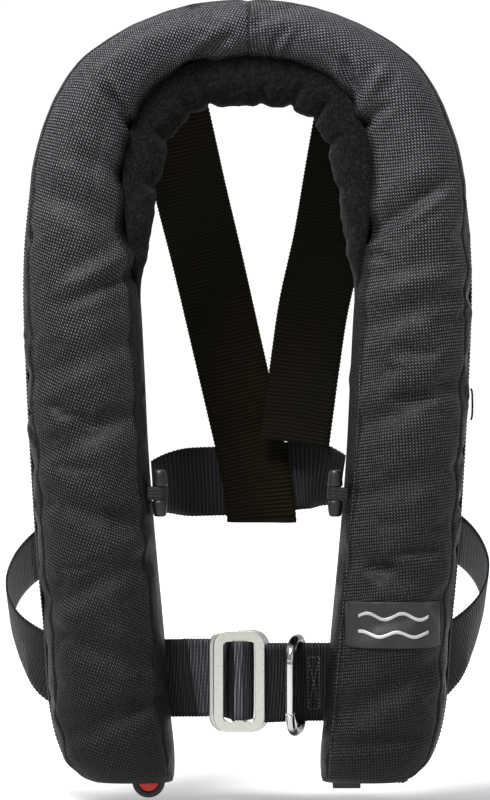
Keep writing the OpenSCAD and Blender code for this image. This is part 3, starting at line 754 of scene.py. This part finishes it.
# One half of the belt, from the buckle round to the back: place, direction of the width, and how much
# higher the right half lies there
SIDE = [
    (44, 28.3, -385.2, 0, 0, 1, -2.8), (66, 28.3, -385.2, 0, 0, 1, -2.5), (92, 28.3, -384.5, 0, 0, 1, -1),
    (116, 29.5, -382.8, 0, -0.1, 1, 2), (134, 34.5, -377.5, 0, -0.35, 0.94, 6),
    (149, 41, -366, 0, -0.6, 0.8, 9),
    (160, 50, -352, 0, -0.75, 0.66, 11), (165, 62, -337, 0, -0.77, 0.64, 12),
    (162, 75, -323, 0, -0.77, 0.64, 12),
    (154, 86, -311.5, 0, -0.75, 0.66, 12), (141, 95, -301, 0, -0.72, 0.69, 11),
    (116, 108, -283, 0, -0.7, 0.71, 8),
    (92, 117, -268, 0, -0.7, 0.71, 5), (70.5, 122.5, -259.5, 0, -0.66, 0.75, 2),
]


def side_of_belt(side):
    return [(side * p[0], p[1], p[2] + (p[6] if side > 0 else 0), side * p[3], p[4], p[5]) for p in SIDE]


def level(z, *xy):
    return [(x, y, z, 0, 0, 1) for x, y in xy]


PLATE_LOOP = level(
    -385.2, (-44, 31.2), (-30, 31.2), (-16, 30.9), (-4, 29.4), (2.2, 25.6), (3.6, 20), (1.2, 13.4),
    (-2.6, 10), (-6, 9.4), (-9.8, 10.6), (-11.8, 18), (-17.6, 27.4), (-30, 28.7))
RING_LOOP = level(-388, (56, 31.2), (40, 31.2), (24, 30.6), (14, 30), (7.6, 28.6), (6.2, 24.8),
                  (7.8, 21), (14, 20), (24, 23), (34, 27))


def side_light(p):
    """Painted light at the side: only the outermost inside of the loop, turned forward, is painted bright, and
    the rest is painted in shade.
    """
    return (0.75 if abs(p[0]) > 151 else 0.05) if 45 < p[1] < 110 else 0.2


def lit_left(p):
    """Painted light on the left belt: where it rises to the buckle, and on the buckle's bar, its yarns are
    painted bright; elsewhere they are painted in shade.
    """
    edge = -41 + (p[2] + 360) * -0.16
    if edge < p[0] < -14 and p[1] < 29.6:
        return 0.95
    if p[0] > -16 and p[1] < 27:
        return 1.0 if -9 < p[0] < -3.6 else (0.4 if p[0] > -3.6 else 0.08)
    return side_light(p)


# Painted light on the right belt: a little near the ring, less further out, and past that as at the side.
def lit_right(p):
    return (0.3 if p[0] < 30 else 0.12) if p[0] < 70 else side_light(p)


# The belt and strap finishes take the painted light and shade of each piece. The back belt and the straps get
# one painted level each, darker than the lit front of the belt, as painted shade.
FINISH["strap"] = ribbed("strap", srgb(5, 4, 1), srgb(58, 51, 26), 0.75, 0.0, 0.08, True)
FINISH["belt"] = ribbed("belt", srgb(4, 5, 5), srgb(128, 130, 138), 0.55, 0.0, 0.15, True)
webbing("belt_left", PLATE_LOOP + side_of_belt(-1), ["waist_belt_left"], w=53.2, rib=2.2, finish=FINISH["belt"],
        slant=0.05, lit=lit_left)
webbing("belt_right", RING_LOOP + side_of_belt(1), ["waist_belt_right"], w=53.2, rib=2.2, finish=FINISH["belt"],
        slant=-0.04, lit=lit_right)
webbing("belt_back", [
    (-68, 123, -259, 0, -0.65, 0.75), (-54, 125.4, -256.5, 0, -0.4, 0.9), (-36, 127, -255.5, 0, 0, 1),
    (-18, 127, -255, 0, 0, 1), (0, 127, -255, 0, 0, 1), (18, 127, -253, 0, 0, 1), (40, 127, -250.5, 0, 0, 1),
    (54, 125.4, -251, 0, -0.4, 0.9), (68, 123, -254.5, 0, -0.65, 0.75),
], ["back_belt"], finish=FINISH["belt"], lit=lambda p: 0.24)
webbing("strap_left", [
    (-58, 23, 24, 1, 0, 0.24), (-50.5, 25, -4, 1, 0, 0.24), (-39, 58, -54, 1, 0, 0.24),
    (-28, 88, -99, 1, 0, 0.24),
    (-14.5, 110, -158, 1, 0, 0.22), (-3, 120.5, -208, 1, 0, 0.22), (2, 123, -230, 1, 0, 0.22),
    (7, 123.6, -255, 1, 0, 0.1), (10, 124.2, -279, 1, 0, 0.02), (10.3, 126.6, -284, 1, 0, 0),
    (10, 129.6, -280, 1, 0, 0), (7, 130.4, -255, 1, 0, 0.1), (2, 130.4, -232, 1, 0, 0.2),
], ["back_strap_left"], finish=FINISH["strap"], lit=lambda p: 0.5)
webbing("strap_right", [
    (76, 23, 22, 1, 0, -0.18), (70, 25, -6, 1, 0, -0.18), (63.5, 52, -44, 1, 0, -0.18),
    (57, 80, -84, 1, 0, -0.18),
    (47, 101, -130, 1, 0, -0.18), (41, 111.5, -172, 1, 0, -0.18), (36.5, 111.8, -206, 1, 0, -0.18),
    (33.6, 110, -227, 1, 0, -0.12),
], ["back_strap_right"], finish=FINISH["strap"], lit=lambda p: 0.3)

for side, x, node in (("left", -93, "belt_keeper_left"), ("right", 94, "belt_keeper_right")):
    webbing("keeper_" + side, [
        (x, y, z, 1, 0, 0) for y, z in (
            (21.6, -349.4), (27, -349.3), (32.4, -349.6), (33.9, -352), (34, -366), (34, -382),
            (34, -398), (33.9, -412), (32.4, -414.4), (27, -414.7), (21.6, -414.6))
    ], [node], w=36, t=1.6)
webbing("lifting_strap", [
    (-112 + 17 * math.copysign(abs(math.cos(a)) ** 0.4, math.cos(a)),
     -1.2 + 4.5 * math.copysign(abs(math.sin(a)) ** 0.4, math.sin(a)), -99.5, 0, 0, 1)
    for a in np.linspace(0.05, 2 * math.pi - 0.05, 25)
], ["lifting_loop"], w=25, t=1.6)


# ---- Steel ----

PLATE_X, PLATE_Z = -5.7, -385.7
WINDOW_X = 6.4
plate = cut_plate("buckle_front", [
    round_rect(PLATE_X, PLATE_Z, 34.7, 68.7, 10),
    round_rect(PLATE_X - WINDOW_X, PLATE_Z, 8, 53, 3), round_rect(PLATE_X + WINDOW_X, PLATE_Z, 8, 53, 3),
], 11.4, 3, 0.9, "steel", "plate", ["buckle_plate"])
cut_plate("buckle_rear", [
    round_rect(PLATE_X, PLATE_Z - 1, 41, 69, 11), round_rect(PLATE_X, PLATE_Z - 1, 28, 56, 5),
], 23.1, 3.4, 1.3, "steel", "jacket", ["buckle_ring"])

RING_X, RING_Y, RING_Z = 37, 40, -389.8
REACH, HALF_H, REAR_R, BOW_R = 16.5, 30.8, 11, 16
turn = math.radians(15)
outline = []
for sx, sz, a0, r in ((1, 1, 0, REAR_R), (-1, 1, 90, BOW_R), (-1, -1, 180, BOW_R), (1, -1, 270, REAR_R)):
    for a in (math.radians(a0 + 7.5 * k) for k in range(13)):
        outline.append((sx * (REACH - r) + r * math.cos(a), sz * (HALF_H - r) + r * math.sin(a)))
track = [
    (RING_X + (u - REACH) * math.sin(turn), RING_Y + (u - REACH) * math.cos(turn), RING_Z + z, 0, 0, 1)
    for u, z in outline + outline[:1]
]
ring = sweep("ring_wire", track, 3.4, "ring_steel", "tether_ring", ["harness_ring"], sides=24, step=0.8)
# Painted dark reflection: only the ring's front bow keeps the bright steel; its rear and its top and bottom
# ends are painted near black.
spots = np.array([v.co for v in ring.data.vertices]) / MM
shade = np.clip((spots[:, 1].min() + 8 - spots[:, 1]) / 2, 0, 1) * np.clip(
    (30 - abs(spots[:, 2] - spots[:, 2].mean())) / 3, 0.03, 1)
shade_points(ring, shade)

# ---- Toggles and their elastic loops ----

TX, TY, TZ = 58.2, -4, -258.7


def toggle(name, side, body, node):
    """Half-round toggle with tapered, rounded ends and a narrow waist."""
    pts = []
    upper = [4.2, 4.7, 5.4, 8, 11, 13.8, 14.8, 15.3, 15.5]
    levels = [-h for h in reversed(upper)] + upper
    for z in levels:
        end = abs(z)
        r = 3.1 if end < 4.5 else 5.2 - 1.2 * ((end - 4.7) / 10.8) ** 1.5
        r *= {15.5: 0.55, 15.3: 0.8, 14.8: 0.94, 4.7: 0.88}.get(end, 1)
        for j in range(28):
            a = 2 * math.pi * j / 28
            x, y = math.cos(a) * r, math.sin(a) * r
            if end > 4.5:
                y = min(y * 0.95 - 1.2, 3.1 - 0.25 * abs(x / r) ** 4)
            pts.append((side * (TX + x), TY + y, TZ + z))
    faces = strip_faces(len(levels), 28)
    return make(name, pts, faces if side > 0 else [f[::-1] for f in faces], "black_plastic", body, [node],
                finish=FINISH["toggle"])


def elastic(name, side, node, slope):
    """Elastic from the lobe's seam round the toggle's waist, with cords along it."""
    path = [(66.5, -8.6), (63, -8.9), (TX, -8.8)]
    path += [(TX - 4.8 * math.sin(a), TY - 4.8 * math.cos(a)) for a in np.linspace(0.2, math.pi - 0.2, 12)]
    path += [(TX, 0.8), (63, 0.9), (66.5, 0.8)]
    track, at = resample([(x, y, 0, 0, 0, 1) for x, y in path], 0.6)
    c, along, wide, thick = frames(track)
    pts, uv = [], []
    heights = np.linspace(-1, 1, 33)
    for k in range(len(at)):
        drop = slope * (track[k, 0] - TX)
        for face in (1, -1):
            for h in heights if face > 0 else heights[::-1]:
                cord = 0.55 + 0.45 * abs(math.cos(2 * math.pi * h)) if face < 0 else 0.6
                p = c[k] + thick[k] * face * 0.62 * cord * (1 - abs(h) ** 10 * 0.6)
                p = p + np.array((0, 0, h * 4.4 + drop))
                pts.append((side * p[0], p[1], TZ + p[2]))
                uv.append((h * 4.4, at[k]))
    faces = strip_faces(len(at), 66)
    return make(name, pts, faces if side > 0 else [f[::-1] for f in faces], "elastic", "jacket", [node], uv)


FINISH["toggle"] = plastic("toggle", srgb(8, 9, 11), 0.42)
toggle("toggle_grip_left", -1, "toggle_l", "toggle_left")
toggle("toggle_grip_right", 1, "toggle_r", "toggle_right")
elastic("elastic_left", -1, "elastic_loop_left", 0.0)
elastic("elastic_right", 1, "elastic_loop_right", -0.12)

# ---- Zip ----

for side, node in ((-1, "zip_left"), (1, "zip_right")):
    path = []
    for s in spread(3, LAST - 0.5, 6):
        p = station(side * s)
        x, y, z = on_section(p, half_width(p) + 0.9, ZIP_Y)
        path.append((x, y, z, 0, 1, 0))
    if side > 0:
        path += [(x, ZIP_Y, z, 0, 1, 0) for x, z in ((105, -452), (98, -452.2), (80, -452.2), (58.5, -452.2))]
    name = "right" if side > 0 else "left"
    sweep("zip_coil_" + name, path, lambda d: 0.55 + 0.6 * abs(math.cos(math.pi * d / 2.7)) ** 0.7,
          "zip_plastic", nodes=[node], sides=8, step=0.45)
    tape, _ = resample(path, 3)
    webbing("zip_tape_" + name, [(*(q[:3] - unit((q[0], 0, q[2] + 200)) * 0.8), 0, 1, 0) for q in tape],
            w=9, t=0.8, slot="zip_plastic", rib=40, step=2.0, finish=FINISH["strap"],
            lit=lambda p: 0.25)

# ---- Label, tab and handle ----


def patch(name, outline_rows, lift, slot, thick=0.9, nodes=(), finish=None):
    """A thin piece that lies on the right lobe's front, from rows of (x, z)."""
    n, m = len(outline_rows), len(outline_rows[0])
    top = [on_front(x, z, lift) for row in outline_rows for x, z in row]
    faces = strip_faces(n, m, closed=False)
    obj = make(name, top, [f[::-1] for f in faces], slot, "jacket", nodes, [(p[0], p[2]) for p in top], finish)
    body = obj.modifiers.new("body", "SOLIDIFY")
    body.thickness = thick * MM
    body.offset = -1
    bpy.context.view_layer.update()
    obj.data = bpy.data.meshes.new_from_object(obj.evaluated_get(bpy.context.evaluated_depsgraph_get()))
    obj.modifiers.clear()
    return obj


LABEL_X, LABEL_Z, LABEL_W, LABEL_H = 95.5, -344, 62, 30


def label_row(k, n, m=65, w=LABEL_W, h=LABEL_H, r=2.5):
    z = h / 2 - h * k / (n - 1)
    over = max(0, abs(z) - (h / 2 - r))
    half = w / 2 - (r - math.sqrt(max(0, r * r - over * over)))
    return [(LABEL_X + half * (2 * j / (m - 1) - 1), LABEL_Z + z) for j in range(m)]


patch("label_pad", [label_row(k, 31) for k in range(31)], 1.3, "label_rubber", 1.2, ["label_patch"])
for number, (z0, rise, length) in enumerate(((5.5, 2.0, 46), (-6.0, 1.6, 46))):
    wave = [
        [(LABEL_X - length / 2 + length * j / 60,
          LABEL_Z + z0 + rise * math.sin(j / 60 * 4 * math.pi + number) + d) for j in range(61)] for d in (1.1, 0.4, -0.4, -1.1)
    ]
    patch("label_wave_%d" % number, wave, 1.55, "label_rubber", 0.3, finish=FINISH["silver"])
webbing("tab_loop", [
    (x, 3.3, z, 0, 1, 0) for x, z in ((149.2, -189), (150, -192), (150.2, -199.5), (150, -207), (149.2, -210))
], ["edge_tab"], w=5.5, t=1.2, rib=1.6, finish=FINISH["strap"], lit=lambda p: 0.4)


def stadium(x, z, w, h, n=20):
    """Outline of an upright slot with round ends."""
    return [
        (x + w / 2 * math.cos(a), z + s * (h - w) / 2 + w / 2 * math.sin(a))
        for s, a0 in ((1, 0), (-1, 180)) for a in (math.radians(a0 + 180 * k / n) for k in range(n + 1))
    ]


HANDLE_X, HANDLE_Z = -66, -445.5
cut_plate("handle_rim", [stadium(HANDLE_X, HANDLE_Z, 22, 33), stadium(HANDLE_X, HANDLE_Z, 14, 25)],
          0.5, 6, 1.2, "handle_rubber", "handle", ["pull_handle"])
cut_plate("handle_core", [stadium(HANDLE_X, HANDLE_Z, 14, 25)],
          1.1, 4.8, 0.8, "red_plastic", "handle", ["pull_handle_inlay"])

# ---- Stitches ----

FINISH["thread"] = ribbed("thread", srgb(60, 60, 62), srgb(150, 150, 152), 0.6)
FINISH["dark_thread"] = ribbed("dark_thread", srgb(24, 24, 24), srgb(74, 74, 76), 0.6)


def seam(name, points, gap, length, radius, out, finish):
    """A row of stitches along a line of points, each lying on the cloth."""
    track, at = resample([(*p, 0, 0, 0) for p in points], gap)
    along = np.gradient(track[:, :3], axis=0)
    spots = [(p[:3], d, out) for p, d in zip(track, along)]
    return beads(name, spots, length, radius, "webbing", finish=finish)


inner = []
for s in spread(7, LAST - 0.6, 4):
    p = station(s)
    x, _, z = on_section(p, -half_width(p) + 5.6, 0)
    inner.append(on_front(x, z, 0.15))
seam("seam_right_inner", inner, 3.0, 2.0, 0.28, (0, -1, 0), FINISH["thread"])
for side, name in ((1, "right"), (-1, "left")):
    line = []
    for s in spread(4, LAST - 0.6, 4):
        p = station(side * s)
        x, _, z = on_section(p, half_width(p) - 4.5, 0)
        line.append(on_front(x, z, 0.1))
    seam("seam_outer_" + name, line, 2.8, 1.9, 0.24, (0, -1, 0), FINISH["dark_thread"])
centre = [on_front(SEAM_X + 0.6 * math.sin(z / 9), z, 0.2) for z in np.linspace(67, 33, 14)]
seam("seam_centre", centre, 2.4, 1.9, 0.28, (0, -1, 0), FINISH["dark_thread"])

y_face = 28.3 - 1.15
corners = [(41, -371), (49, -371), (49, -406), (41, -406)]
rows_of_stitches = list(zip(corners, corners[1:] + corners[:1]))
rows_of_stitches += [(corners[0], corners[2]), (corners[1], corners[3])]
spots = []
for (x0, z0), (x1, z1) in rows_of_stitches:
    n = max(2, int(math.hypot(x1 - x0, z1 - z0) / 2.4))
    for k in range(n):
        t = (k + 0.5) / n
        spots.append(((x0 + (x1 - x0) * t, y_face, z0 + (z1 - z0) * t), (x1 - x0, 0, z1 - z0), (0, -1, 0)))
beads("box_stitch", spots, 1.7, 0.26, "webbing", finish=FINISH["thread"])

# ---- Inside the cover ----

pts, uv = [], []
rows = spread(-11, 11, 5)
for i, s in enumerate(rows):
    p = station(s)
    for j in range(36):
        a = 2 * math.pi * (j + 0.5) / 36
        pleat = 0.9 * math.sin(6 * a) * (abs(math.sin(a)) > 0.2)
        x = on_section(p, -rounded(math.cos(a), 4) * (half_width(p) - 9),
                       ZIP_Y + (3 - (4.6 + 0.5 * pleat) * rounded(math.sin(a), 4)) * p[5])
        pts.append(x)
        uv.append((i * 5, j * 5))
bladder = make("folded_bladder", pts, strip_faces(len(rows), 36), "bladder_fabric", "jacket", ["bladder"], uv)
shade_points(bladder, np.ones(len(bladder.data.vertices)))
sweep("lanyard_cord", [
    (-66, y, z, 0, 0, 0) for y, z in ((-9, -372), (-8.5, -385), (-5, -400), (1, -415), (3.5, -428.6))
], 1.2, "red_cord", "handle", ["lanyard"], sides=12, twist=1.2)
sweep("whistle_line", [
    (x, -8, z, 0, 0, 0) for x, z in ((99.7, -182), (104, -183), (110, -188), (117, -196), (121, -202.4))
], 1, "webbing", "jacket", ["whistle_cord"], sides=12, twist=1.4)
for number, (x, z) in enumerate(((-110, -165), (104, -300))):
    cut_plate("reflective_%d" % number, [round_rect(x, z, 34, 50, 3)], 5.4, 0.3, 0.1, "reflective",
              "jacket", ["reflective_patches"])

for name, node in NODES.items():
    if not node.hide_render:
        node.data.materials.clear()
        node.data.materials.append(FINISH[SLOT_OF[name]].mat)
        for poly in node.data.polygons:
            poly.use_smooth = False

# ---- Stage ----

floor_mesh = bpy.data.meshes.new("floor")
FLOOR_Z = -0.475
floor_mesh.from_pydata([(x, y, FLOOR_Z) for x, y in ((-6, -4), (6, -4), (6, 9), (-6, 9))], [], [(0, 1, 2, 3)])
floor = bpy.data.objects.new("floor", floor_mesh)
bpy.context.scene.collection.objects.link(floor)
FLOOR = Finish("floor", (0.62, 0.62, 0.62, 1), 0.8)
FLOOR.set("Specular IOR Level", 0.1)
FLOOR.set("Emission Color", (1, 1, 1, 1))
along = FLOOR.node("SeparateXYZ", (FLOOR.place(),)).outputs[1]
FLOOR.feed(FLOOR.ramp(along, 0.02, 0.3, (0.0, 0.8)), "Emission Strength")
floor_mesh.materials.append(FLOOR.mat)

world = bpy.data.worlds.new("world")
bpy.context.scene.world = world
world.use_nodes = True
sky = world.node_tree
ground = sky.nodes["Background"]
ground.inputs[0].default_value = (1, 1, 1, 1)
axes = sky.nodes.new("ShaderNodeSeparateXYZ")
sky.links.new(sky.nodes.new("ShaderNodeTexCoord").outputs["Generated"], axes.inputs[0])
depth = sky.nodes.new("ShaderNodeMapRange")
sky.links.new(axes.outputs[1], depth.inputs[0])
for k, value in enumerate((-0.6, 0.6, 0.3, 1.05), 1):
    depth.inputs[k].default_value = value
sky.links.new(depth.outputs[0], ground.inputs[1])


def lamp(name, place, aim, size, power, tone=(1, 1, 1)):
    data = bpy.data.lights.new(name, "AREA")
    data.shape = "RECTANGLE"
    data.size, data.size_y = size
    data.energy = power
    data.color = tone
    obj = bpy.data.objects.new(name, data)
    obj.location = place
    obj.rotation_euler = (Vector(aim) - Vector(place)).to_track_quat("-Z", "Y").to_euler()
    bpy.context.scene.collection.objects.link(obj)


lamp("key", (-0.45, -0.8, 1.05), (0, 0, -0.1), (0.5, 0.4), 44, (1, 0.99, 0.98))
lamp("fill", (1.3, -1.2, 0.3), (0, 0, -0.25), (0.7, 1.0), 1.5, (0.94, 0.97, 1))
bpy.context.scene.view_settings.view_transform = "Standard"
